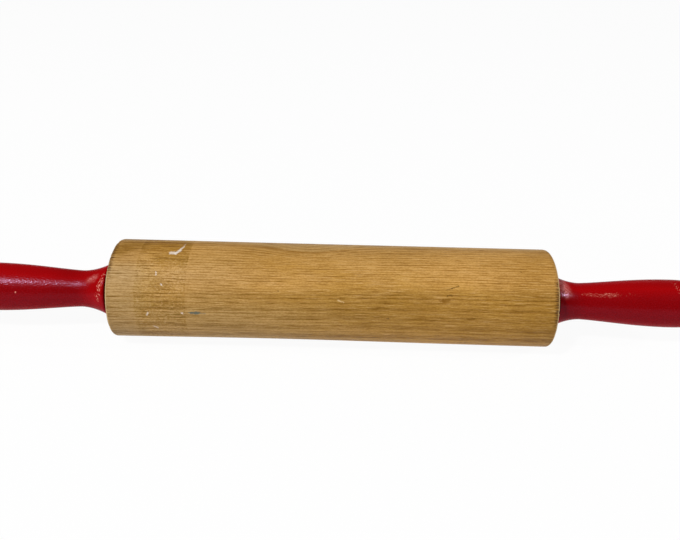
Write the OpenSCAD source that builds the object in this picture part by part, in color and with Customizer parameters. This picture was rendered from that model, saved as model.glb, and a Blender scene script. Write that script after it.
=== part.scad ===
// Rolling pin: a wooden barrel that turns freely on a steel axle between two turned handles.
// Millimetres, X along the pin, +Z up, origin at the centre of the barrel.
// The pin lies on a table, so the axle rests on the bottom of its bushes, a little below the barrel's axis.

/* [Barrel] */

// Length over the rounded end edges
barrel_l = 254; // [220:1:300]
// Diameter of the rolling surface
barrel_d = 57.5; // [52:0.5:70]
// Rounding of the two end edges
edge_r = 2.6; // [1:0.1:6]

/* [Axle and bushes] */

// Diameter of the axle inside the barrel
axle_d = 9.5; // [9:0.1:11]
// Diameter of the axle's ends inside the handles
axle_end_d = 8; // [6.4:0.1:8.2]
// How far the axle can drop from the middle of its bushes
axle_play = 1.7; // [0.2:0.1:2]
// How far the barrel can slide to each side from the middle
end_play = 1.3; // [0.4:0.1:2.5]
// Length of a bush with its flange
bush_l = 19; // [12:1:30]
// Wall of a bush
bush_wall = 1.6; // [1.2:0.1:2.2]
// Width of a bush's flange around its tube
bush_flange_w = 4; // [2.5:0.5:6]
// Thickness of a bush's flange
bush_flange_t = 1.5; // [1:0.1:2.5]
// Diameter of the washer that keeps the barrel off the handle
thrust_washer_d = 22; // [16:0.5:25]
// Thickness of that washer
thrust_washer_t = 2.4; // [0.8:0.1:3]

/* [Handle] */

// Length along the axle
handle_l = 88; // [80:1:105]
// Widest diameter of the flare next to the barrel
base_d = 30; // [27:0.2:34]
// Rounding of the flare's edge
lip_r = 1.2; // [0.6:0.1:2]
// Angle of the flare against the axle where it leaves the lip
flare_angle = 26; // [22:1:34]
// Diameter of the neck
neck_d = 21.6; // [18:0.2:24]
// Distance of the neck from the inner face
neck_at = 17.4; // [14:0.2:22]
// Diameter of the swell that fills the palm
swell_d = 28.4; // [26:0.2:32]
// Distance of the swell from the inner face
swell_at = 70.5; // [60:0.5:74]
// How quickly the handle thickens after the neck, higher is later
grip_power = 1.3; // [1.1:0.05:1.8]
// Bluntness of the outer end, 2 is an ellipse
nose_power = 3.4; // [2.2:0.1:4]

/* [Fastening] */

// Size of the hexagon nut across its flats
nut_af = 13; // [12:0.1:13.5]
// Height of the nut
nut_h = 6.5; // [5:0.1:7]
// Diameter of the washer under the nut
clamp_washer_d = 17; // [16:0.1:18]
// Thickness of that washer
clamp_washer_t = 1.6; // [1:0.1:2]
// How far the axle stands out of the nut
axle_proud = 2; // [0.5:0.1:3]
// Length of the plug in the handle's end
plug_l = 8; // [6:0.5:10]

/* [Hidden] */

$fn = 96;

// Gap left between faces that touch or are pressed together
seat_gap = 0.05;
// Room around a washer in its recess
washer_room = 0.3;
// Room between the end of the axle and the plug
plug_room = 1;
// Bevel at the ends of the axle
axle_bevel = 0.8;
// Curve steps of a turned outline
steps = 16;

bush_bore_d = axle_d + 2 * axle_play;
bush_d = bush_bore_d + 2 * bush_wall;
bush_flange_d = bush_d + 2 * bush_flange_w;
barrel_bore_d = bush_d + 2 * seat_gap;
flange_recess_d = bush_flange_d + 2 * seat_gap;

// Where the axle lies at rest: pushed to the left and down until it meets a bush
axle_rest = [seat_gap - end_play, 0, seat_gap - axle_play];

// Stations along the axle, counted from its middle
shoulder_at = barrel_l / 2 + end_play;
handle_at = shoulder_at + thrust_washer_t;

// Stations along the handle, counted from its inner face
recess_at = handle_l - plug_l - plug_room - axle_proud - nut_h - clamp_washer_t;
axle_end_at = handle_l - plug_l - plug_room;
handle_bore_d = axle_end_d + 2 * seat_gap;
recess_d = clamp_washer_d + 2 * washer_room;
plug_d = recess_d - 2 * seat_gap;

base_r = base_d / 2;
neck_r = neck_d / 2;
swell_r = swell_d / 2;

// The flare leaves the lip in line with it
flare_r = base_r - lip_r + lip_r * cos(flare_angle);
flare_at = lip_r + lip_r * sin(flare_angle);
flare_power = max(1.2, tan(flare_angle) * (neck_at - flare_at) / (flare_r - neck_r));

// Outline points [radius, distance from the inner face], each for t from 0 to 1
function lip_point(t) = let (a = t * (90 + flare_angle))
    [base_r - lip_r + lip_r * sin(a), lip_r - lip_r * cos(a)];
function flare_point(t) =
    [neck_r + (flare_r - neck_r) * pow(1 - t, flare_power), flare_at + t * (neck_at - flare_at)];
function grip_point(t) =
    [neck_r + (swell_r - neck_r) * pow(sin(90 * t), grip_power), neck_at + t * (swell_at - neck_at)];
function nose_point(t) = let (a = 90 * t)
    [swell_r * pow(cos(a), 2 / nose_power), swell_at + (handle_l - swell_at) * pow(sin(a), 2 / nose_power)];

handle_outline = concat(
    [[0, 0]],
    [for (i = [0 : steps / 2]) lip_point(2 * i / steps)],
    [for (i = [1 : steps]) flare_point(i / steps)],
    [for (i = [1 : steps]) grip_point(i / steps)],
    [for (i = [1 : steps]) nose_point(i / steps)]
);

wood_colour = [0.74, 0.57, 0.32];
paint_colour = [0.6, 0.02, 0.03];
steel_colour = [0.62, 0.62, 0.6];

// Lays what stands on +Z along the pin, side 1 to the right and -1 to the left
module along_pin(side) {
    rotate([0, 90 * side, 0])
        children();
}

// The same on the axle where it lies at rest, moved outwards by at
module on_axle(side, at) {
    translate(axle_rest)
        along_pin(side)
            translate([0, 0, at])
                children();
}

module barrel_half_section() {
    square([barrel_d / 2 - edge_r, barrel_l / 2]);
    square([barrel_d / 2, barrel_l / 2 - edge_r]);
    translate([barrel_d / 2 - edge_r, barrel_l / 2 - edge_r])
        circle(r = edge_r);
}

module barrel_half_cut() {
    translate([0, 0, -1])
        cylinder(d = barrel_bore_d, h = barrel_l);
    translate([0, 0, barrel_l / 2 - bush_flange_t])
        cylinder(d = flange_recess_d, h = barrel_l);
}

module bush() {
    translate([0, 0, barrel_l / 2 - bush_l])
        difference() {
            union() {
                cylinder(d = bush_d, h = bush_l);
                translate([0, 0, bush_l - bush_flange_t])
                    cylinder(d = bush_flange_d, h = bush_flange_t);
            }
            translate([0, 0, -1])
                cylinder(d = bush_bore_d, h = bush_l + 2);
        }
}

module washer(outer_d, inner_d, thickness) {
    difference() {
        cylinder(d = outer_d, h = thickness);
        translate([0, 0, -1])
            cylinder(d = inner_d, h = thickness + 2);
    }
}

module axle_end() {
    length = handle_at + axle_end_at;
    cylinder(d = axle_end_d, h = length - axle_bevel);
    translate([0, 0, length - axle_bevel])
        cylinder(d1 = axle_end_d, d2 = axle_end_d - 2 * axle_bevel, h = axle_bevel);
}

module handle() {
    difference() {
        rotate_extrude()
            polygon(handle_outline);
        translate([0, 0, -1])
            cylinder(d = handle_bore_d, h = handle_l);
        translate([0, 0, recess_at])
            cylinder(d = recess_d, h = handle_l);
    }
}

module end_plug() {
    intersection() {
        rotate_extrude()
            polygon(handle_outline);
        translate([0, 0, handle_l - plug_l])
            cylinder(d = plug_d, h = 2 * plug_l);
    }
}

module nut() {
    corner_d = nut_af / cos(30);
    bevel = (corner_d - nut_af) / 2 * tan(30);
    difference() {
        intersection() {
            cylinder(d = corner_d, h = nut_h, $fn = 6);
            union() {
                cylinder(d1 = nut_af, d2 = corner_d, h = bevel);
                translate([0, 0, bevel])
                    cylinder(d = corner_d, h = nut_h - 2 * bevel);
                translate([0, 0, nut_h - bevel])
                    cylinder(d1 = corner_d, d2 = nut_af, h = bevel);
            }
        }
        translate([0, 0, -1])
            cylinder(d = handle_bore_d, h = nut_h + 2);
    }
}

module barrel() {
    color(wood_colour)
        difference() {
            union() {
                along_pin(1)
                    rotate_extrude()
                        barrel_half_section();
                along_pin(-1)
                    rotate_extrude()
                        barrel_half_section();
            }
            along_pin(1)
                barrel_half_cut();
            along_pin(-1)
                barrel_half_cut();
        }
}

module left_bush() {
    color(steel_colour)
        along_pin(-1)
            bush();
}

module right_bush() {
    color(steel_colour)
        along_pin(1)
            bush();
}

module axle_rod() {
    color(steel_colour) {
        on_axle(1, -shoulder_at)
            cylinder(d = axle_d, h = 2 * shoulder_at);
        on_axle(1, 0)
            axle_end();
        on_axle(-1, 0)
            axle_end();
    }
}

module left_thrust_washer() {
    color(steel_colour)
        on_axle(-1, shoulder_at)
            washer(thrust_washer_d, handle_bore_d, thrust_washer_t);
}

module right_thrust_washer() {
    color(steel_colour)
        on_axle(1, shoulder_at)
            washer(thrust_washer_d, handle_bore_d, thrust_washer_t);
}

module left_handle() {
    color(paint_colour)
        on_axle(-1, handle_at)
            handle();
}

module right_handle() {
    color(paint_colour)
        on_axle(1, handle_at)
            handle();
}

module left_clamp_washer() {
    color(steel_colour)
        on_axle(-1, handle_at + recess_at)
            washer(clamp_washer_d, handle_bore_d, clamp_washer_t);
}

module right_clamp_washer() {
    color(steel_colour)
        on_axle(1, handle_at + recess_at)
            washer(clamp_washer_d, handle_bore_d, clamp_washer_t);
}

module left_nut() {
    color(steel_colour)
        on_axle(-1, handle_at + recess_at + clamp_washer_t)
            nut();
}

module right_nut() {
    color(steel_colour)
        on_axle(1, handle_at + recess_at + clamp_washer_t)
            nut();
}

module left_end_plug() {
    color(paint_colour)
        on_axle(-1, handle_at)
            end_plug();
}

module right_end_plug() {
    color(paint_colour)
        on_axle(1, handle_at)
            end_plug();
}

barrel();
left_bush();
right_bush();
axle_rod();
left_thrust_washer();
right_thrust_washer();
left_handle();
right_handle();
left_clamp_washer();
right_clamp_washer();
left_nut();
right_nut();
left_end_plug();
right_end_plug();
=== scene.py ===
"""Looks of a wooden rolling pin with red painted handles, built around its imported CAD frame.

Meshes are in metres. X runs along the pin, +Z is up and the person who uses it stands at -Y.
Angles around the pin start at the side that faces this person and go upwards.
Named sizes are in millimetres where their comment says so, because a wood turner measures in them.
"""
import math

import bpy
import numpy as np
from mathutils import Matrix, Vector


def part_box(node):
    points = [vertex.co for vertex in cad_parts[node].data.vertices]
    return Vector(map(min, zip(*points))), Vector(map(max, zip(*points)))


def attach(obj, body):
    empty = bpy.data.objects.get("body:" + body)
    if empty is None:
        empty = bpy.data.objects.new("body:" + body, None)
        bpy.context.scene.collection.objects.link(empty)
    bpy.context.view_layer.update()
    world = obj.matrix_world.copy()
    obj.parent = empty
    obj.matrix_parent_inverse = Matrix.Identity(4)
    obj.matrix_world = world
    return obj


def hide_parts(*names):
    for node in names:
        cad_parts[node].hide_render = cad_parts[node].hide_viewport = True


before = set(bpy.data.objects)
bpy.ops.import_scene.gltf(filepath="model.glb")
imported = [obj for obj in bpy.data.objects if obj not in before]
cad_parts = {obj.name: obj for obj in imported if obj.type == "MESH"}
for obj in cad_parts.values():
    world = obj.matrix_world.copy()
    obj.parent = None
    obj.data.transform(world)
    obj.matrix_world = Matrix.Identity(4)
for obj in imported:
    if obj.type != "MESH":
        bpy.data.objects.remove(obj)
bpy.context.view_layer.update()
MM = 0.001

# Camera of the photograph: picture sizes in pixels of its 680 by 540 frame, other lengths in millimetres
# and angles in radians
PICTURE_WIDTH = 680
FOCAL_PIXELS = 680
CENTRE_ABOVE_MIDDLE = 48
SENSOR_WIDTH = 36
CAMERA_DISTANCE = 405.92
CAMERA_RIGHT = -4.235
CAMERA_DOWN = 42.04
CAMERA_TILT = math.radians(26)
CAMERA_ROLL = 0.0256
CAMERA_YAW = 0.0005

# Barrel: the frame gives the length and thickness, the rest repeats the CAD source, in millimetres
barrel_low, barrel_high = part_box("barrel")
bush_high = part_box("right_bush")[1]
BARREL_HALF = barrel_high.x / MM
BARREL_R = barrel_high.z / MM
FLANGE_R = bush_high.z / MM
SEAT_GAP = 0.05
EDGE_R = 2.6
FLANGE_T = 1.5
BORE_R = 8.1

# Wear of the barrel in millimetres: the hollow's depth, place and spread along it, and the rounding of
# the end edges on the low side; sides are angles around the barrel
HOLLOW_DEPTH = 0.75
HOLLOW_AT = -30
HOLLOW_SPREAD = 58
HOLLOW_SIDE = math.radians(-58)
LOW_EDGE_R = 1.4
LOW_EDGE_SIDE = math.radians(-62)

# Dent that faces the user: place along the barrel, angle around it, length, width and depth
FRONT_DENT = (4.5, math.radians(22.7), 2.2, 0.8, 0.22)

# Handle outline, the same numbers as in the CAD source, in millimetres
HANDLE_L = 88
BASE_R = 15
LIP_R = 1.2
FLARE_ANGLE = math.radians(26)
NECK_R = 10.8
NECK_AT = 17.4
SWELL_R = 14.2
SWELL_AT = 70.5
GRIP_POWER = 1.3
NOSE_POWER = 3.4
AXLE_HOLE_R = 4.05
RECESS_R = 8.8
RECESS_AT = 68.9
PLUG_R = 8.75
PLUG_L = 8

# Small bevel of hidden corners and rounding of a bush seat's edge, in millimetres
BEVEL = 0.1
SEAT_EDGE_R = 0.3

# Faces around each turned piece
AROUND_BARREL = 288
AROUND_HANDLE = 224
AROUND_PLUG = 128

# Finishes, as linear colours; a glaze is a tint that multiplies what is under it
WOOD_PALE = (0.58, 0.325, 0.095, 1)
WOOD_AMBER = (0.50, 0.270, 0.068, 1)
WOOD_GREY = (0.485, 0.348, 0.163, 1)
# Painted shade: glaze for a darker band low on the barrel's front
LOW_FRONT_SHADE_GLAZE = (0.76, 0.745, 0.62, 1)
LATE_GLAZE = (0.60, 0.51, 0.26, 1)
PORE_GLAZE = (0.62, 0.53, 0.28, 1)
GOLD_GLAZE = (1.0, 0.985, 0.78, 1)
AGED_GLAZE = (0.88, 0.88, 0.93, 1)
# Painted shade: glaze that darkens the right end of the barrel
RIGHT_END_SHADE_GLAZE = (0.92, 0.90, 0.81, 1)
# Painted shade: glaze that darkens the middle of the barrel
MIDDLE_SHADE_GLAZE = (0.93, 0.935, 0.94, 1)
SILVER = (0.72, 0.47, 0.20, 1)
GLUE_GLAZE = (0.73, 0.68, 0.44, 1)
PAPER_GLAZE = (0.97, 0.95, 0.85, 1)
SPECKLE_GLAZE = (0.82, 0.78, 0.70, 1)
END_GLAZE = (0.72, 0.66, 0.55, 1)
RIM_DIRT = (0.20, 0.14, 0.08, 1)
PAINT_RED = (0.325, 0.0007, 0.0010, 1)
# Deeper red, used for random patches and as painted shade on the front of the grips
PAINT_DEEP = (0.205, 0.0005, 0.0012, 1)
# Painted shade: glaze for the gap beside the barrel and the barrel's shadow on the right flare
PAINT_SHADE_GLAZE = (0.42, 0.25, 0.25, 1)
# Pink of paint rubbed through, also a painted highlight at the left lip
RUB_AND_GLINT_PINK = (0.75, 0.27, 0.20, 1)
# Pale pink of rubbed paint, also a painted highlight on the flares
WORN_GLOW_PINK = (0.70, 0.27, 0.25, 1)
WHITE_PAINT = (0.74, 0.66, 0.58, 1)
PALE_WOOD = (0.66, 0.47, 0.23, 1)
DARK_MARK = (0.10, 0.045, 0.006, 1)
KNOT_BROWN = (0.20, 0.085, 0.008, 1)
BLUE_GREY = (0.085, 0.11, 0.095, 1)
STEEL_GREY = (0.42, 0.42, 0.41, 1)
STEEL_DULL = (0.3, 0.29, 0.27, 1)
PAPER_LIGHT = (0.83, 0.83, 0.83, 1)
PAPER_SHADE = (0.80, 0.80, 0.80, 1)

# Pith of the tree, behind and above the barrel's axis, in millimetres
PITH_BACK = 20.5
PITH_UP = 56.4

# Rings for each millimetre far from the pith, how many more there are near it, and how far near reaches
WIDE_RINGS = 0.22
MORE_RINGS = 0.42
NEAR_PITH = 70.0

# Swelling of the trunk that bows the rings on the top side: its place and half width along the barrel, its
# height, and the distance from the pith of one dark year that shows it, in millimetres
BOW_AT = -14
BOW_HALF = 22.5
BOW_HEIGHT = 4.55
DARK_YEAR = 32.6

# Edges of a paper label that once went round the barrel's left end, in millimetres, and the glue that is
# left of it, with a smudge beside it: two ends as (millimetres along, degrees around), width and strength
LABEL_LEFT = -110.5
LABEL_RIGHT = -82
LABEL_GLUE = (
    ((-106, 93), (-88, 93), 15, 1.0),
    ((-97, 67), (-84, 68), 9, 0.85),
    ((-99, 36), (-92, 33), 6, 0.5),
    ((-105, 20), (-101, 14), 5, 0.4),
    ((-97, 12), (-87, 14), 4, 0.6),
    ((-101, -4), (-86, -3), 6, 0.2),
    ((-124, 80), (-113, 92), 13, 1.0),
)

# Marks on the barrel: two ends as (millimetres along, degrees around), width, colour and how much covers
BARREL_MARKS = (
    ((-92.8, 76.4), (-89.9, 76), 2.1, WHITE_PAINT, 0.74),
    ((-89.9, 76), (-88, 81.6), 1.8, WHITE_PAINT, 0.74),
    ((-88, 81.6), (-86.7, 88), 1.3, WHITE_PAINT, 0.64),
    ((-86.7, 88), (-86.3, 96), 0.8, WHITE_PAINT, 0.3),
    ((-99, 49.8), (-98.7, 46.8), 0.8, WHITE_PAINT, 0.65),
    ((-95.6, 36.4), (-94.9, 35.2), 0.7, WHITE_PAINT, 0.7),
    ((-102.8, 3.4), (-103.6, -0.8), 0.7, WHITE_PAINT, 0.6),
    ((-83.9, 2.9), (-83.5, 2.9), 1.2, WHITE_PAINT, 0.75),
    ((-100.4, -17.8), (-98.6, -20), 1.0, WHITE_PAINT, 0.5),
    ((-78.6, 3.7), (-74.4, 3.6), 1.5, BLUE_GREY, 0.8),
    ((-80, 4.2), (-70.8, 3.4), 0.9, BLUE_GREY, 0.45),
    # Pale spot in the front dent: a painted highlight on the dent's wall
    ((3.4, 22.8), (4.4, 22), 1.0, PALE_WOOD, 0.7),
    ((4.4, 22), (6.4, 20.9), 0.7, PALE_WOOD, 0.5),
    ((63.3, 37.8), (66.3, 39.5), 0.5, DARK_MARK, 0.65),
    ((66.3, 39.5), (70.2, 42.5), 0.55, DARK_MARK, 0.85),
    ((63.8, 30.7), (65.2, 32.6), 0.6, DARK_MARK, 0.75),
    ((65.2, 32.6), (66.6, 31.4), 0.6, DARK_MARK, 0.7),
    ((60, 25.4), (62, 25.8), 1.7, KNOT_BROWN, 0.55),
    ((61.6, 25.6), (64.4, 26.8), 2.3, KNOT_BROWN, 0.7),
    ((-30.4, 31.9), (-30, 31.9), 0.9, DARK_MARK, 0.65),
    ((105.4, 61.3), (105.9, 61.3), 0.9, DARK_MARK, 0.55),
    ((30.4, 3.2), (31.6, 3.2), 0.8, DARK_MARK, 0.6),
)

# Radius in millimetres that unrolls a handle, and the places where its paint is rubbed through in flecks:
# two ends as (millimetres along, degrees around), width and how bare they are; the last one is a chip. The
# first three, at the left lip, are partly painted highlight.
GRIP_R = 13
PAINT_RUBS_AND_GLINTS = (
    ((-134, 64), (-134.6, 50.6), 2.4, 0.8),
    ((-134.6, 50.6), (-135.4, 31.6), 2.6, 1.0),
    ((-135.4, 31.6), (-136.6, 6), 2.2, 0.68),
    ((147, 53), (156, 51), 2.6, 0.9),
    ((156, 51), (165, 51.6), 2.8, 1.0),
    ((165, 51.6), (178, 51), 2.0, 0.55),
    ((200.4, 84), (201.6, 62), 2.0, 0.33),
    ((-184, 17.6), (-183.6, 18), 0.5, 2.4),
)

# Pale patches on the flares without an edge, rubbed paint with a painted highlight over it: two ends as
# above, width and how pale they are
PAINT_WORN_GLOWS = (
    ((-142, 58), (-139.5, 63), 3.6, 0.55),
    ((134.2, 84), (135.0, 57), 6.0, 0.72),
)

# Side of a handle whose red is painted darkest as shade, as an angle around it
SHADED_SIDE = math.radians(15)

# Mirror of the paint: a low index keeps most of the floor out, a tint above 1 lifts the streaks of light
PAINT_IOR = 1.06
PAINT_TINT = (11.5, 8.3, 13.0, 1)

# Relief in millimetres: grain sunk into the varnish, orange peel of the paint, rings left by the lathe
GRAIN_RELIEF = -0.05
PEEL_RELIEF = 0.11
LATHE_RELIEF = 0.01

# Colour and level of the room's light, half the width of the floor in metres, and how much of the floor's
# white is its own
ROOM_WHITE = (0.97, 0.98, 1, 1)
ROOM_LEVEL = 0.17
FLOOR_HALF = 40
FLOOR_SEEN = 0.95


def skin(name, points, capped=False):
    """Mesh of a grid of points (rows, around, 3).

    Every four neighbours make one face and the rows close around. Without caps the last row also
    joins the first one; with caps a fan from the mean of the first and of the last row closes them.
    The faces are turned outwards by the sign of the enclosed volume.
    """
    rows, around = points.shape[:2]
    row = np.arange(rows - 1 if capped else rows)[:, None]
    column = np.arange(around)[None, :]
    below = (row + 1) % rows
    beside = (column + 1) % around
    quads = np.stack(
        [row * around + column, below * around + column, below * around + beside, row * around + beside],
        axis=-1,
    ).reshape(-1, 4)
    vertices = points.reshape(-1, 3)
    fans = np.zeros((0, 3), int)
    if capped:
        ends = np.stack([points[0].mean(axis=0), points[-1].mean(axis=0)])
        start = rows * around
        ring = np.arange(around)
        ring_next = (ring + 1) % around
        last = (rows - 1) * around
        first_fan = np.stack([np.full(around, start), ring, ring_next], axis=-1)
        last_fan = np.stack([np.full(around, start + 1), last + ring_next, last + ring], axis=-1)
        vertices = np.concatenate([vertices, ends])
        fans = np.concatenate([first_fan, last_fan])
    triangles = np.concatenate([quads[:, [0, 1, 2]], quads[:, [0, 2, 3]], fans])
    a, b, c = (vertices[triangles[:, k]] for k in range(3))
    if np.einsum("ij,ij->", a, np.cross(b, c)) < 0:
        quads = quads[:, ::-1]
        fans = fans[:, ::-1]
    mesh = bpy.data.meshes.new(name)
    mesh.from_pydata(vertices.tolist(), [], quads.tolist() + fans.tolist())
    mesh.polygons.foreach_set("use_smooth", np.ones(len(mesh.polygons), bool))
    mesh.update()
    piece = bpy.data.objects.new(name, mesh)
    bpy.context.scene.collection.objects.link(piece)
    return piece


def turned(along, radius, axis_height, angle):
    """Points of a turned surface in metres: at each place along the axis a circle of the given radius."""
    y = -radius * np.cos(angle)
    z = axis_height + radius * np.sin(angle)
    return np.stack(np.broadcast_arrays(along, y, z), axis=-1) * MM


def all_round(count):
    """Angles of one full turn as a row, without repeating the first."""
    return np.linspace(0, 2 * np.pi, count, endpoint=False)[None, :]


def rounded_outline(corners):
    """Closed outline (along, radius) through square corners.

    A corner is (along, radius, rounding, steps to the next corner). Each one is a quarter circle tangent
    to both runs, and each run is split evenly into its steps.
    """
    places = np.array([corner[:2] for corner in corners], float)
    before = places - np.roll(places, 1, axis=0)
    before /= np.linalg.norm(before, axis=1)[:, None]
    after = np.roll(before, -1, axis=0)
    arcs = []
    for place, into, out, corner in zip(places, before, after, corners):
        turn = np.linspace(0, np.pi / 2, 12 if corner[2] > 1 else 4)[:, None]
        centre = place - corner[2] * into + corner[2] * out
        arcs.append(centre - corner[2] * out * np.cos(turn) + corner[2] * into * np.sin(turn))
    pieces = []
    for arc, following, corner in zip(arcs, arcs[1:] + arcs[:1], corners):
        pieces.append(arc)
        pieces.append(np.linspace(arc[-1], following[0], corner[3] + 1)[1:-1])
    return np.concatenate(pieces)


def smooth(value, start, end):
    """Smooth step from 0 at start to 1 at end."""
    t = np.clip((value - start) / (end - start), 0, 1)
    return t * t * (3 - 2 * t)


def turn_between(angle, other):
    """Signed angle from other to angle, between half a turn back and half a turn on."""
    return (angle - other + np.pi) % (2 * np.pi) - np.pi


def barrel_wear(along, angle):
    """How far the worn wood lies below a true cylinder, in millimetres.

    Use has hollowed the barrel left of its middle, most on the side that lies low towards the user:
    a bell curve along the barrel times one wave around it. Dents are bell-shaped pits.
    """
    hollow = HOLLOW_DEPTH * np.exp(-0.5 * ((along - HOLLOW_AT) / HOLLOW_SPREAD) ** 2)
    depth = hollow * (0.55 + 0.45 * np.cos(angle - HOLLOW_SIDE))
    chance = np.random.default_rng(11)
    dents = [FRONT_DENT]
    for _ in range(16):
        place = chance.uniform(-110, 110)
        side = chance.uniform(math.radians(110), math.radians(320))
        length = chance.uniform(0.8, 2.4)
        width = chance.uniform(0.6, 1.1)
        pit = chance.uniform(0.08, 0.2)
        dents.append((place, side, length, width, pit))
    for place, side, length, width, pit in dents:
        arc = turn_between(angle, side) * BARREL_R
        depth = depth + pit * np.exp(-((along - place) / length) ** 2 - (arc / width) ** 2)
    return depth


def rim_nicks(along, angle):
    """Small notches knocked into both rims: narrow bell curves around the rim, fading away from it.

    Each rim has nine in one stretch of angles and nine more all round, placed by chance.
    """
    chance = np.random.default_rng(5)
    depth = 0 * along + 0 * angle
    for end, low, high in ((-1, 55, 110), (1, 15, 50), (-1, 0, 360), (1, 0, 360)):
        rim = smooth(end * along, BARREL_HALF - 1.1 * EDGE_R, BARREL_HALF - 0.55 * EDGE_R)
        for side in np.radians(chance.uniform(low, high, 9)):
            arc = turn_between(angle, side) * BARREL_R
            notch = chance.uniform(0.12, 0.38)
            width = chance.uniform(0.5, 0.9)
            depth = depth + rim * notch * np.exp(-((arc / width) ** 2))
    return depth


def barrel_outline(edge):
    """Outline of the barrel with its bush recesses and bore, for one rounding of the end edges."""
    seat = FLANGE_R + SEAT_GAP
    floor = BARREL_HALF - FLANGE_T
    return rounded_outline([
        (-BARREL_HALF, BARREL_R, edge, 216),
        (BARREL_HALF, BARREL_R, edge, 9),
        (BARREL_HALF, seat, SEAT_EDGE_R, 2),
        (floor, seat, BEVEL, 2),
        (floor, BORE_R, BEVEL, 5),
        (-floor, BORE_R, BEVEL, 2),
        (-floor, seat, BEVEL, 2),
        (-BARREL_HALF, seat, SEAT_EDGE_R, 9),
    ])


def make_barrel():
    """Barrel: its outline turned about X, less wear on the outside.

    The end edges are less rounded on the side that lies low towards the user: a blend of two outlines,
    the sharper one weighted by a smooth step of the cosine of the angle from that side.
    """
    angle = all_round(AROUND_BARREL)
    low_side = smooth(np.cos(angle - LOW_EDGE_SIDE), 0.3, 0.95)[..., None]
    rounded = barrel_outline(EDGE_R)[:, None]
    sharper = barrel_outline(LOW_EDGE_R)[:, None]
    outline = (1 - low_side) * rounded + low_side * sharper
    along, radius = outline[..., 0], outline[..., 1]
    outside = smooth(radius, BARREL_R - 1.6 * EDGE_R, BARREL_R - 0.3 * EDGE_R)
    worn = radius - outside * (barrel_wear(along, angle) + rim_nicks(along, angle))
    return skin("turned_barrel", turned(along, worn, 0, angle))


def handle_outline():
    """Outside of a handle as (distance from the inner face, radius).

    The lip is an arc that runs past the quarter by the flare's angle. The flare falls to the neck as a
    power curve that leaves the lip in line with it. The grip swells as a power of a sine, and the end
    is a superellipse, followed up to the mouth of the plug hole.
    """
    a = np.linspace(0, np.pi / 2 + FLARE_ANGLE, 14)
    lip = np.stack([LIP_R - LIP_R * np.cos(a), BASE_R - LIP_R + LIP_R * np.sin(a)], axis=1)
    flare_at, flare_r = lip[-1]
    power = math.tan(FLARE_ANGLE) * (NECK_AT - flare_at) / (flare_r - NECK_R)
    t = np.linspace(0, 1, 40)[1:]
    falling = (1 - t) ** power
    flare = np.stack([flare_at + t * (NECK_AT - flare_at), NECK_R + (flare_r - NECK_R) * falling], axis=1)
    t = np.linspace(0, 1, 80)[1:]
    swelling = np.sin(np.pi / 2 * t) ** GRIP_POWER
    grip = np.stack([NECK_AT + t * (SWELL_AT - NECK_AT), NECK_R + (SWELL_R - NECK_R) * swelling], axis=1)
    return np.concatenate([lip, flare, grip, nose_outline(0, RECESS_R)])


def nose_outline(start, to_radius):
    """Rounded end as (distance from the inner face, radius): a superellipse from an angle to a radius."""
    end = math.acos((to_radius / SWELL_R) ** (NOSE_POWER / 2))
    a = np.linspace(start, end, 36)[1:]
    bulge = 2 / NOSE_POWER
    at = SWELL_AT + (HANDLE_L - SWELL_AT) * np.sin(a) ** bulge
    return np.stack([at, SWELL_R * np.cos(a) ** bulge], axis=1)


def handle_place(node):
    """Inner face, direction outwards and height of the axis of a handle, in millimetres, from the frame."""
    low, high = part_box(node)
    height = (low.z + high.z) / 2 / MM
    if node.startswith("left"):
        return high.x / MM, -1, height
    return low.x / MM, 1, height


def make_handle(name, node):
    """Handle, turned about its axis: outside, recess for nut and plug, axle hole and inner face."""
    face, outwards, height = handle_place(node)
    outside = handle_outline()
    mouth = outside[-1, 0]
    inside = np.array([
        (mouth - 0.15, RECESS_R - 0.02),
        (mouth - 1.0, RECESS_R),
        (RECESS_AT + BEVEL, RECESS_R),
        (RECESS_AT, RECESS_R - BEVEL),
        (RECESS_AT, AXLE_HOLE_R + BEVEL),
        (RECESS_AT - BEVEL, AXLE_HOLE_R),
        (RECESS_AT / 2, AXLE_HOLE_R),
        (2 * BEVEL, AXLE_HOLE_R),
        (0, AXLE_HOLE_R + 2 * BEVEL),
        (0, BASE_R / 2),
        (0, BASE_R - LIP_R - 0.5),
    ])
    outline = np.concatenate([outside, inside])
    along = face + outwards * outline[:, :1]
    return skin(name, turned(along, outline[:, 1:], height, all_round(AROUND_HANDLE)))


def make_plug(name, handle_node):
    """End plug, turned about the axis: rest of the rounded end, straight wall and flat inner face."""
    face, outwards, height = handle_place(handle_node)
    start = math.acos((PLUG_R / SWELL_R) ** (NOSE_POWER / 2))
    crown = nose_outline(start, 0.05)
    rim = crown[0, 0]
    wall = np.array([
        (HANDLE_L - PLUG_L, 0.5),
        (HANDLE_L - PLUG_L, PLUG_R / 2),
        (HANDLE_L - PLUG_L, PLUG_R - 2 * BEVEL),
        (HANDLE_L - PLUG_L + 2 * BEVEL, PLUG_R),
        (rim - 0.5, PLUG_R),
        (rim - 0.12, PLUG_R),
    ])
    outline = np.concatenate([wall, crown])
    along = face + outwards * outline[:, :1]
    return skin(name, turned(along, outline[:, 1:], height, all_round(AROUND_PLUG)), capped=True)


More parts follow.
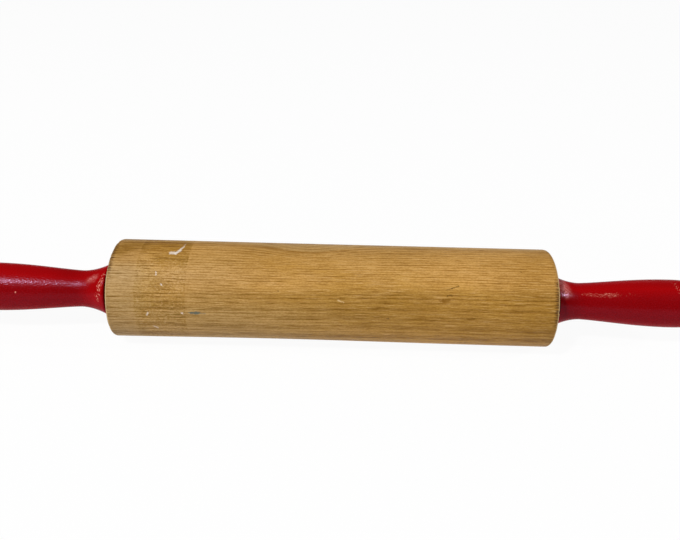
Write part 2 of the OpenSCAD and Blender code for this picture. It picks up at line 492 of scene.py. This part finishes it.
class Finish:
    """A material. Each method adds a node and gives back the socket that holds its result."""

    def __init__(self, name):
        self.material = bpy.data.materials.new(name)
        self.material.use_nodes = True
        self.nodes = self.material.node_tree.nodes
        self.links = self.material.node_tree.links
        self.shader = self.nodes["Principled BSDF"]
        self.colour = None

    def node(self, kind, inputs, result=0, **settings):
        """Adds a node; an input is a socket to link or a fixed value."""
        new = self.nodes.new("ShaderNode" + kind)
        for key, value in settings.items():
            setattr(new, key, value)
        for place, value in inputs.items():
            self.put(new.inputs[place], value)
        return new.outputs[result]

    def put(self, socket, value):
        """Links a socket or sets its fixed value."""
        if isinstance(value, bpy.types.NodeSocket):
            self.links.new(value, socket)
        else:
            socket.default_value = value

    def math(self, operation, a, b=0.0, c=0.0, clamp=False):
        """Number a and b, and c where the operation takes three, put together."""
        return self.node("Math", {0: a, 1: b, 2: c}, operation=operation, use_clamp=clamp)

    def times(self, first, *others):
        """Product of numbers."""
        for other in others:
            first = self.math("MULTIPLY", first, other)
        return first

    def highest(self, first, *others):
        """Highest of several numbers."""
        for other in others:
            first = self.math("MAXIMUM", first, other)
        return first

    def vector(self, operation, a, b=(0, 0, 0), result=0):
        """Vectors a and b put together."""
        return self.node("VectorMath", {0: a, 1: b}, result, operation=operation)

    def scaled(self, vector, factor):
        """Vector times a number."""
        return self.node("VectorMath", {0: vector, "Scale": factor}, operation="SCALE")

    def place(self):
        """Place on the piece in millimetres."""
        return self.scaled(self.node("TexCoord", {}, "Object"), 1 / MM)

    def parts(self, vector):
        """The three numbers of a vector."""
        x = self.node("SeparateXYZ", {0: vector}, 0)
        return x, x.node.outputs[1], x.node.outputs[2]

    def cloud(self, place, size, detail=2.0, roughness=0.5):
        """Noise from 0 to 1 whose patches are about size millimetres, one size for each axis."""
        spread = self.vector("DIVIDE", place, size)
        inputs = {"Vector": spread, "Scale": 1.0, "Detail": detail, "Roughness": roughness}
        return self.node("TexNoise", inputs, "Fac")

    def ragged(self, spread, place, size, reach):
        """Unrolled surface shaken by up to reach millimetres either way, in patches of the given size."""
        inputs = {"Vector": self.scaled(place, 1 / size), "Scale": 1.0}
        shake = self.vector("SUBTRACT", self.node("TexNoise", inputs, "Color"), (0.5, 0.5, 0.5))
        return self.vector("ADD", spread, self.vector("MULTIPLY", shake, (2 * reach, 2 * reach, 0)))

    def step(self, value, start, end, low=0.0, high=1.0):
        """Smooth step from low at start to high at end."""
        inputs = {"Value": value, "From Min": start, "From Max": end, "To Min": low, "To Max": high}
        return self.node("MapRange", inputs, interpolation_type="SMOOTHSTEP")

    def band(self, value, rise, fall):
        """Smooth rise from 0 to 1 over one stretch of a value, and fall back to 0 over another."""
        return self.times(self.step(value, *rise), self.step(value, *fall))

    def mix(self, share, a, b):
        """Colour a with a share of colour b over it."""
        return self.node("Mix", {0: share, 6: a, 7: b}, 2, data_type="RGBA")

    def stain(self, share, colour, glaze):
        """Colour darkened by a share of a glaze, as multiplied colours."""
        return self.node("Mix", {0: share, 6: colour, 7: glaze}, 2, data_type="RGBA", blend_type="MULTIPLY")

    def tone(self, share, shade):
        """Lays a share of a shade over the colour so far."""
        self.colour = self.mix(share, self.colour, shade)

    def glaze(self, share, tint):
        """Darkens the colour so far by a share of a glaze."""
        self.colour = self.stain(share, self.colour, tint)

    def away(self, spread, start, end):
        """Distance from a straight stroke on the unrolled surface, in millimetres."""
        run = (end[0] - start[0], end[1] - start[1], 0)
        length = run[0] ** 2 + run[1] ** 2
        offset = self.vector("SUBTRACT", spread, (start[0], start[1], 0))
        reach = self.vector("DOT_PRODUCT", offset, (run[0] / length, run[1] / length, 0), "Value")
        reach = self.math("ADD", reach, 0.0, clamp=True)
        return self.vector("DISTANCE", offset, self.scaled(run, reach), "Value")

    def relief(self, height, depth):
        """Bump of a height from 0 to 1 that stands for depth millimetres."""
        bump = self.node("Bump", {"Height": height, "Distance": depth * MM, "Strength": 1.0})
        self.put(self.shader.inputs["Normal"], bump)


def arc_point(along, degrees):
    """Place on the unrolled barrel, in millimetres, from a place along it and an angle around it."""
    return along, math.radians(degrees) * BARREL_R


def grip_point(along, degrees):
    """Place on an unrolled handle, in millimetres, from a place along it and an angle around it."""
    return along, math.radians(degrees) * GRIP_R


class BarrelWood(Finish):
    """Varnished straight-grained hardwood. Each layer paints over the colour that the one before left."""

    def __init__(self):
        super().__init__("varnished_wood")
        self.spot = self.place()
        self.x, y, z = self.parts(self.spot)
        turn = self.math("ARCTAN2", z, self.times(y, -1.0))
        self.degrees = self.times(turn, math.degrees(1))
        self.arc = self.times(turn, BARREL_R)
        self.section = self.node("CombineXYZ", {1: y, 2: z})
        self.spread = self.node("CombineXYZ", {0: self.x, 1: self.arc})
        # The angle jumps by a full turn at the back, so broad tones that read it fade out there
        self.users_side = self.step(self.math("ABSOLUTE", self.degrees), 165, 120)
        self.low_side = self.times(self.step(self.degrees, 26, 2), self.users_side)

    def noise(self, size, detail=2.0, roughness=0.5):
        """Noise through the wood whose patches have a size along the trunk and another across it."""
        return self.cloud(self.spot, (size[0], size[1], size[1]), detail, roughness)

    def grow_rings(self):
        """Rings, counted by the distance from a pith outside the barrel.

        A bell curve along the barrel, the swelling, is taken off the distance, and a slow drift and a
        ripple are added. The rings are narrow near the pith and wide farther out.
        """
        pith = self.vector("SUBTRACT", self.section, (0, PITH_BACK, PITH_UP))
        self.depth = self.vector("LENGTH", pith, result="Value")
        bell = self.math("DIVIDE", self.math("SUBTRACT", self.x, BOW_AT), BOW_HALF)
        bell = self.math("EXPONENT", self.times(bell, bell, -1.0))
        bow = self.times(bell, self.step(self.depth, 46, 37, 0.0, BOW_HEIGHT))
        self.grown = self.math("SUBTRACT", self.depth, bow)
        lean = self.times(self.x, 0.008)
        drift = self.math("MULTIPLY_ADD", self.noise((260, 45), 1.0), 7.0, lean)
        self.ripple = self.times(self.noise((70, 8)), 1.2)
        distance = self.math("ADD", self.grown, self.math("ADD", drift, self.ripple))
        near = self.math("SMOOTH_MIN", distance, NEAR_PITH, 8.0)
        self.ring = self.math("MULTIPLY_ADD", near, MORE_RINGS, self.times(distance, WIDE_RINGS))

    def find_grain(self):
        """Late wood at the end of each ring, pores and one dark year.

        Late wood is broken along the grain and differs from year to year by luck. On the low side each
        ring also holds three finer lines.
        """
        year = self.math("FRACT", self.ring)
        whole_years = self.math("FLOOR", self.ring)
        luck = self.node("TexWhiteNoise", {"W": whole_years}, "Value", noise_dimensions="1D")
        broken = self.step(self.noise((14, 0.9), 2.0, 0.65), 0.34, 0.60, 0.1, 1.0)
        late = self.band(year, (0.35, 0.85), (1.0, 0.9))
        late = self.times(late, broken, self.step(luck, -0.4, 0.9, 0.2, 1.0))
        season = self.math("FRACT", self.times(self.ring, 3.0))
        fine = self.band(season, (0.45, 0.85), (1.0, 0.9))
        fine = self.times(fine, broken, self.times(self.low_side, 0.9))
        self.late = self.highest(late, fine)
        self.fibre = self.noise((9, 0.4), 2.0, 0.6)
        self.pores = self.times(self.step(self.fibre, 0.52, 0.68), self.step(year, 0.0, 0.7, 0.4, 1.0))
        aside = self.math("SUBTRACT", self.grown, DARK_YEAR + 0.4)
        aside = self.math("ABSOLUTE", self.math("MULTIPLY_ADD", self.ripple, 0.7, aside))
        thick = self.step(self.x, 5, -35, 0.35, 0.8)
        dark_year = self.step(aside, thick, self.times(thick, 0.3))
        self.dark_year = self.times(dark_year, self.step(self.noise((40, 6)), 0.3, 0.6, 0.35, 0.85))

    def lay_ground(self):
        """Tones under the grain: painted shade low on the front, gold on the right, grey on the left and
        low, age, and painted shade at the right end and in the middle.
        """
        blotch = self.step(self.noise((60, 14), 3.0), 0.3, 0.7)
        self.colour = self.mix(blotch, WOOD_PALE, WOOD_AMBER)
        # Painted shade: a darker band low on the front, set by the distance from the pith, fading out again
        # at the bottom
        shade_line = self.math("MULTIPLY_ADD", self.ripple, 2.0, self.depth)
        shade_line = self.math("MULTIPLY_ADD", self.x, 0.026, shade_line)
        shade_line = self.math("SUBTRACT", shade_line, self.step(self.x, -50, -105, 0.0, 4.0))
        fade = self.math("MULTIPLY_ADD", self.x, -0.045, self.depth)
        self.glaze(self.times(self.step(shade_line, 57.5, 65), self.step(fade, 84, 69)), LOW_FRONT_SHADE_GLAZE)

        slant = self.math("MULTIPLY_ADD", self.x, 0.3, self.degrees)
        gold = self.times(self.step(self.x, -75, 0), self.step(slant, 84, 48), self.users_side)
        gold = self.times(gold, self.step(self.noise((20, 7)), 0.3, 0.65, 0.4, 1.0))
        self.glaze(gold, GOLD_GLAZE)

        beside_label = self.step(self.x, LABEL_RIGHT + 10, LABEL_LEFT - 6)
        grey = self.times(beside_label, self.step(self.degrees, 78, 46, 0.0, 0.5))
        worn = self.times(self.step(self.x, -30, -80), self.step(self.degrees, 88, 60, 0.0, 0.2))
        grey = self.times(self.highest(grey, worn), self.users_side)
        low = self.times(self.low_side, self.step(self.x, 50, -80, 0.0, 0.4))
        inner = self.step(self.grown, DARK_YEAR - 0.4, DARK_YEAR - 1.4, 0.0, 0.25)
        self.tone(self.highest(grey, low, inner), WOOD_GREY)

        self.glaze(self.step(self.x, LABEL_LEFT + 8, LABEL_LEFT - 6), AGED_GLAZE)
        # Painted shade: the right end darkened to offset the right lamp's light there
        self.glaze(self.step(self.x, BARREL_HALF - 30, BARREL_HALF - 12), RIGHT_END_SHADE_GLAZE)
        # Painted shade: the middle of the barrel darkened to offset the lamps' light there
        from_bow = self.math("ABSOLUTE", self.math("SUBTRACT", self.x, BOW_AT))
        self.glaze(self.step(from_bow, 85, 45), MIDDLE_SHADE_GLAZE)

    def draw_grain(self):
        """Late wood, the dark year, pores, the silver of bare fibres, and a fine speckle."""
        self.glaze(self.highest(self.late, self.dark_year), LATE_GLAZE)
        self.glaze(self.pores, PORE_GLAZE)
        self.tone(self.times(self.step(self.fibre, 0.46, 0.30), 0.35), SILVER)
        self.glaze(self.step(self.noise((1.3, 0.6), 2.0, 0.7), 0.40, 0.66), SPECKLE_GLAZE)

    def leave_label_ghost(self):
        """Paper tone and soaked grain inside the label's edges, old glue, flecks and pale scraps."""
        left = (LABEL_LEFT - 0.6, LABEL_LEFT + 0.6)
        right = (LABEL_RIGHT + 0.3, LABEL_RIGHT - 0.3)
        inside = self.band(self.x, left, right)
        patchy = self.step(self.noise((16, 16), 1.0), 0.38, 0.55)
        self.glaze(self.times(inside, patchy), PAPER_GLAZE)
        grain = self.times(self.highest(self.late, self.pores), 0.5)
        self.glaze(self.times(inside, grain), LATE_GLAZE)
        self.torn = self.noise((8, 1.0), 3.0, 0.7)
        for start, end, width, strength in LABEL_GLUE:
            gap = self.away(self.spread, arc_point(*start), arc_point(*end))
            near = self.step(gap, width, 0.1 * width)
            patch = self.step(self.math("MULTIPLY_ADD", near, 0.36, self.torn), 0.62, 0.84, 0.0, strength)
            self.glaze(self.times(patch, inside if start[0] > LABEL_LEFT else near), GLUE_GLAZE)
        crackle = self.noise((1.5, 0.9), 3.0, 0.8)
        flaking = self.times(inside, self.users_side, self.step(self.degrees, 84, 60, 0.2, 1.0))
        self.glaze(self.times(flaking, self.step(crackle, 0.50, 0.62, 0.0, 0.75)), GLUE_GLAZE)
        self.tone(self.times(flaking, self.step(crackle, 0.44, 0.34, 0.0, 0.3)), PALE_WOOD)

    def finish_rims(self):
        """Varnish rubbed off the end edges, dirt in the open grain there, and darker end faces."""
        from_middle = self.math("ABSOLUTE", self.x)
        left = self.step(self.x, 1, -1)
        right = self.step(self.x, -1, 1)
        across = self.vector("LENGTH", self.section, result="Value")
        around = self.node("CombineXYZ", {0: self.math("SIGN", self.x), 1: self.arc})
        reach = self.math("MULTIPLY_ADD", self.cloud(around, (1, 0.9, 1), 1.0), 5.0, from_middle)
        rim = self.step(reach, BARREL_HALF - 1.2, BARREL_HALF + 0.6)
        rim = self.times(rim, self.step(across, BARREL_R - 5, BARREL_R - 3))
        inner = self.step(from_middle, BARREL_HALF - 0.7, BARREL_HALF - 1.3)
        rim = self.times(rim, self.highest(left, inner))
        upper = self.times(self.band(self.degrees, (40, 52), (100, 90)), left)
        front = self.times(self.band(self.degrees, (-8, 4), (58, 46)), right)
        dirty = self.highest(upper, front, 0.2)
        tick = self.times(self.step(self.cloud(around, (1, 0.55, 1), 1.0), 0.41, 0.56), dirty)
        edge = self.step(from_middle, BARREL_HALF - 1.4, BARREL_HALF - 0.7)
        edge = self.times(edge, self.step(across, BARREL_R - 5, BARREL_R - 2))
        self.tone(self.times(edge, 0.65), PALE_WOOD)
        self.glaze(self.times(rim, tick), RIM_DIRT)
        self.glaze(self.step(from_middle, BARREL_HALF - 0.1, BARREL_HALF), END_GLAZE)

    def add_marks(self):
        """Scratches, spots and knots with ragged edges, and a painted highlight in the front dent."""
        ragged = self.ragged(self.spread, self.spot, 1.0, 0.9)
        for start, end, width, shade, share in BARREL_MARKS:
            gap = self.away(ragged, arc_point(*start), arc_point(*end))
            self.tone(self.step(gap, 0.7 * width, 0.25 * width, 0.0, share), shade)

    def varnish(self):
        """Dull varnish, uneven in gloss, sunk a little into the grain."""
        self.put(self.shader.inputs["Base Color"], self.colour)
        self.put(self.shader.inputs["Roughness"], self.step(self.torn, 0.2, 0.8, 0.42, 0.58))
        self.shader.inputs["Specular IOR Level"].default_value = 0.12
        self.relief(self.math("ADD", self.late, self.pores), GRAIN_RELIEF)


def barrel_finish():
    """The barrel's wood with all its layers, from the rings to the varnish."""
    wood = BarrelWood()
    wood.grow_rings()
    wood.find_grain()
    wood.lay_ground()
    wood.draw_grain()
    wood.leave_label_ghost()
    wood.finish_rims()
    wood.add_marks()
    wood.varnish()
    return wood.material


class HandlePaint(Finish):
    """Old red paint. Layers read the distance from a handle's inner face and the angle round its axis."""

    def __init__(self):
        super().__init__("red_handle_paint")
        left_face, _, axis_height = handle_place("left_handle")
        right_face = handle_place("right_handle")[0]
        middle = (left_face + right_face) / 2
        self.spot = self.place()
        x, y, z = self.parts(self.spot)
        up = self.math("SUBTRACT", z, axis_height)
        turn = self.math("ARCTAN2", up, self.times(y, -1.0))
        self.spread = self.node("CombineXYZ", {0: x, 1: self.times(turn, GRIP_R)})
        self.right = self.step(x, -1.0, 1.0)
        outwards = self.math("ABSOLUTE", self.math("SUBTRACT", x, middle))
        self.outwards = self.math("SUBTRACT", outwards, right_face - middle)
        # Cosine of the angle from the side painted in shade, faded out around the middle of the rounded end
        across = self.vector("LENGTH", self.node("CombineXYZ", {1: y, 2: up}), result="Value")
        facing = self.math("COSINE", self.math("SUBTRACT", turn, SHADED_SIDE))
        self.facing = self.times(facing, self.step(across, 4, 10))

    def darken(self):
        """Deeper red in random patches and as painted shade on the front of the grips, painted shade beside
        the barrel, more of it on the right, and a painted shadow of the barrel on the right flare.
        """
        # Painted shade: deeper red on the side of a grip turned to the user, less of it at the left flare
        shade_reach = self.highest(self.step(self.outwards, 6, 18, 0.25, 1.0), self.right)
        painted_shade = self.times(self.step(self.facing, 0.55, 1.0), shade_reach)
        shade = self.step(self.cloud(self.spot, (30, 9, 9)), 0.35, 0.75, 0.0, 0.3)
        self.colour = self.mix(self.highest(shade, painted_shade), PAINT_RED, PAINT_DEEP)
        # Painted shade in the gap beside the barrel; below it, a painted shadow of the barrel on the right
        # flare
        reach = self.math("MULTIPLY_ADD", self.right, 2.1, 0.4)
        self.glaze(self.step(self.outwards, reach, self.times(reach, 0.8)), PAINT_SHADE_GLAZE)
        barrel_shadow = self.times(self.step(self.outwards, 20, 6), self.step(self.facing, 0.5, 0.9, 0.0, 0.35))
        self.glaze(self.times(barrel_shadow, self.right), PAINT_SHADE_GLAZE)

    def wear(self):
        """Pale places on the flares, rubbed paint with a painted highlight over it, and flecks rubbed
        through the paint, long along the grip and short at the lip; those at the left lip are partly
        painted highlight.
        """
        wander = self.ragged(self.spread, self.spot, 3.5, 1.3)
        grit = self.step(self.cloud(self.spread, (1.4, 1.1, 1), 1.0), 0.35, 0.62, 0.35, 1.0)
        # Painted highlight over rubbed paint on both flares, pale and soft-edged
        for start, end, width, pale in PAINT_WORN_GLOWS:
            gap = self.away(wander, grip_point(*start), grip_point(*end))
            thin = self.step(gap, width, -0.2 * width, 0.0, pale)
            self.tone(self.times(thin, grit), WORN_GLOW_PINK)
        scuffs = self.cloud(self.spread, (0.4, 1.2, 1), 0.0)
        scratches = self.cloud(self.spread, (1.7, 0.36, 1), 3.0, 0.7)
        self.rubbed = 0.0
        # Flecks rubbed through the paint; those at the left lip are partly a painted highlight
        for start, end, width, bare in PAINT_RUBS_AND_GLINTS:
            flecks = scratches if abs(end[0] - start[0]) > 5 else scuffs
            gap = self.away(wander, grip_point(*start), grip_point(*end))
            zone = self.step(gap, width, 0.2 * width, 0.0, 0.2 * bare)
            spots = self.step(self.math("ADD", flecks, zone), 0.72, 0.80)
            spots = self.times(spots, self.step(zone, 0.0, 0.04))
            self.rubbed = self.highest(self.rubbed, spots)
        self.tone(self.times(self.rubbed, 0.75), RUB_AND_GLINT_PINK)

    def gloss_over(self):
        """Half gloss with a fine orange peel, glossier at the flare and duller on the pale flecks."""
        self.put(self.shader.inputs["Base Color"], self.colour)
        gloss = self.step(self.cloud(self.spot, (0.75, 0.6, 0.6), 0.0), 0.35, 0.65, 0.23, 0.32)
        gloss = self.math("ADD", gloss, self.step(self.outwards, 13, 6, 0.0, -0.09))
        self.put(self.shader.inputs["Roughness"], self.math("MULTIPLY_ADD", self.rubbed, 0.2, gloss))
        self.shader.inputs["IOR"].default_value = PAINT_IOR
        self.shader.inputs["Specular Tint"].default_value = PAINT_TINT
        peel = self.cloud(self.spot, (1.0, 0.85, 0.85), 0.0)
        self.relief(self.times(peel, self.step(self.outwards, 5, 15, 0.5, 1.0)), PEEL_RELIEF)


def paint_finish():
    """The handles' paint with its layers, from the red to the gloss."""
    paint = HandlePaint()
    paint.darken()
    paint.wear()
    paint.gloss_over()
    return paint.material


def steel_finish():
    """Plain turned steel: fine rings left by the lathe, a little uneven in gloss."""
    steel = Finish("turned_steel")
    place = steel.place()
    x, y, z = steel.parts(place)
    radius = steel.vector("LENGTH", steel.node("CombineXYZ", {0: y, 1: z}), result="Value")
    rings = steel.cloud(steel.node("CombineXYZ", {0: x, 1: radius}), (0.5, 0.25, 1), 2.0)
    dull = steel.cloud(place, (6, 6, 6), 3.0)
    colour = steel.mix(steel.step(dull, 0.3, 0.8), STEEL_GREY, STEEL_DULL)
    steel.put(steel.shader.inputs["Base Color"], colour)
    steel.shader.inputs["Metallic"].default_value = 1.0
    steel.put(steel.shader.inputs["Roughness"], steel.step(dull, 0.3, 0.8, 0.3, 0.5))
    steel.relief(rings, LATHE_RELIEF)
    return steel.material


def aim_camera():
    """Camera of the photograph: a pin-hole in front of the pin and above it, rolled a little."""
    tilt = CAMERA_TILT
    view = np.array([
        [1, 0, 0],
        [0, -math.sin(tilt), -math.cos(tilt)],
        [0, math.cos(tilt), -math.sin(tilt)],
    ])
    c, s = math.cos(CAMERA_YAW), math.sin(CAMERA_YAW)
    yaw = np.array([[c, 0, s], [0, 1, 0], [-s, 0, c]])
    c, s = math.cos(CAMERA_ROLL), math.sin(CAMERA_ROLL)
    roll = np.array([[c, -s, 0], [s, c, 0], [0, 0, 1]])
    turn = roll @ yaw @ view
    stand = -turn.T @ np.array([CAMERA_RIGHT, CAMERA_DOWN, CAMERA_DISTANCE]) * MM
    placed = np.eye(4)
    placed[:3, :3] = (turn * np.array([[1], [-1], [-1]])).T
    placed[:3, 3] = stand
    data = bpy.data.cameras.new("photo_camera")
    data.sensor_fit = "HORIZONTAL"
    data.sensor_width = SENSOR_WIDTH
    data.lens = SENSOR_WIDTH * FOCAL_PIXELS / PICTURE_WIDTH
    data.shift_y = -CENTRE_ABOVE_MIDDLE / PICTURE_WIDTH
    data.clip_start = 0.01
    camera = bpy.data.objects.new("photo_camera", data)
    camera.matrix_world = Matrix(placed.tolist())
    bpy.context.scene.collection.objects.link(camera)
    bpy.context.scene.camera = camera


def softbox(name, direction, distance, width, height, power):
    """Rectangular lamp, in metres and watts, that shines from a direction on to the pin's middle."""
    data = bpy.data.lights.new(name, "AREA")
    data.shape = "RECTANGLE"
    data.size = width
    data.size_y = height
    data.energy = power
    back = np.array(direction, float) / np.linalg.norm(direction)
    across = np.cross((0, 0, 1), back)
    across /= np.linalg.norm(across)
    placed = np.eye(4)
    placed[:3, :3] = np.stack([across, np.cross(back, across), back], axis=1)
    placed[:3, 3] = back * distance
    lamp = bpy.data.objects.new(name, data)
    lamp.matrix_world = Matrix(placed.tolist())
    bpy.context.scene.collection.objects.link(lamp)


def light_studio():
    """Main softbox high on the left, a weak one behind, a small one for each flare, and a dim pale room."""
    softbox("left_softbox", (-0.66, -0.75, 1.25), 2.4, 0.20, 0.18, 44.5)
    softbox("back_softbox", (0.2, 1.0, 0.3), 2.2, 1.6, 0.8, 2)
    softbox("right_flare_softbox", (0.86, -0.14, 0.49), 1.4, 0.05, 0.20, 6)
    softbox("left_flare_softbox", (-0.62, -0.42, 0.66), 1.4, 0.05, 0.05, 2.2)
    world = bpy.data.worlds.new("pale_room")
    world.use_nodes = True
    room = world.node_tree.nodes["Background"]
    room.inputs["Color"].default_value = ROOM_WHITE
    room.inputs["Strength"].default_value = ROOM_LEVEL
    bpy.context.scene.world = world


def lay_floor():
    """White floor, a square under the barrel. Most of its white is its own, so its shadow stays faint."""
    reach = np.array([-FLOOR_HALF, FLOOR_HALF], float)
    corners = np.broadcast_arrays(reach[:, None], reach[None, :], barrel_low.z)
    corners = np.stack(corners, axis=-1).reshape(-1, 3)
    mesh = bpy.data.meshes.new("floor")
    mesh.from_pydata(corners.tolist(), [], [(0, 2, 3, 1)])
    floor = bpy.data.objects.new("floor", mesh)
    bpy.context.scene.collection.objects.link(floor)
    paper = Finish("white_paper")
    grain = paper.cloud(paper.place(), (3, 3, 3), 3.0)
    paper.put(paper.shader.inputs["Base Color"], paper.mix(grain, PAPER_SHADE, PAPER_LIGHT))
    paper.shader.inputs["Roughness"].default_value = 0.9
    paper.shader.inputs["Specular IOR Level"].default_value = 0.0
    glow = paper.nodes.new("ShaderNodeEmission")
    rays = paper.nodes.new("ShaderNodeLightPath")
    kinds = ("Is Camera Ray", "Is Glossy Ray", "Is Transmission Ray")
    seen = paper.highest(*(rays.outputs[kind] for kind in kinds))
    blend = paper.nodes.new("ShaderNodeMixShader")
    paper.put(blend.inputs[0], paper.times(seen, FLOOR_SEEN))
    paper.put(blend.inputs[1], paper.shader.outputs[0])
    paper.put(blend.inputs[2], glow.outputs[0])
    paper.put(paper.nodes["Material Output"].inputs["Surface"], blend.outputs[0])
    mesh.materials.append(paper.material)


def fit(piece, finish, body, node):
    """Gives a piece its finish and its place in the frame, and hides the CAD node that it stands for."""
    piece.data.materials.append(finish)
    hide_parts(node)
    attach(piece, body)


aim_camera()
light_studio()
lay_floor()
wood = barrel_finish()
paint = paint_finish()
steel = steel_finish()
fit(make_barrel(), wood, "barrel", "barrel")
for end in ("left", "right"):
    handle = make_handle(end + "_turned_handle", end + "_handle")
    fit(handle, paint, "handles", end + "_handle")
    plug = make_plug(end + "_turned_plug", end + "_handle")
    fit(plug, paint, "handles", end + "_end_plug")
    for part in ("bush", "thrust_washer", "clamp_washer", "nut"):
        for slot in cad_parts[end + "_" + part].material_slots:
            slot.material = steel
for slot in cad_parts["axle_rod"].material_slots:
    slot.material = steel

bpy.context.scene.view_settings.view_transform = "Standard"
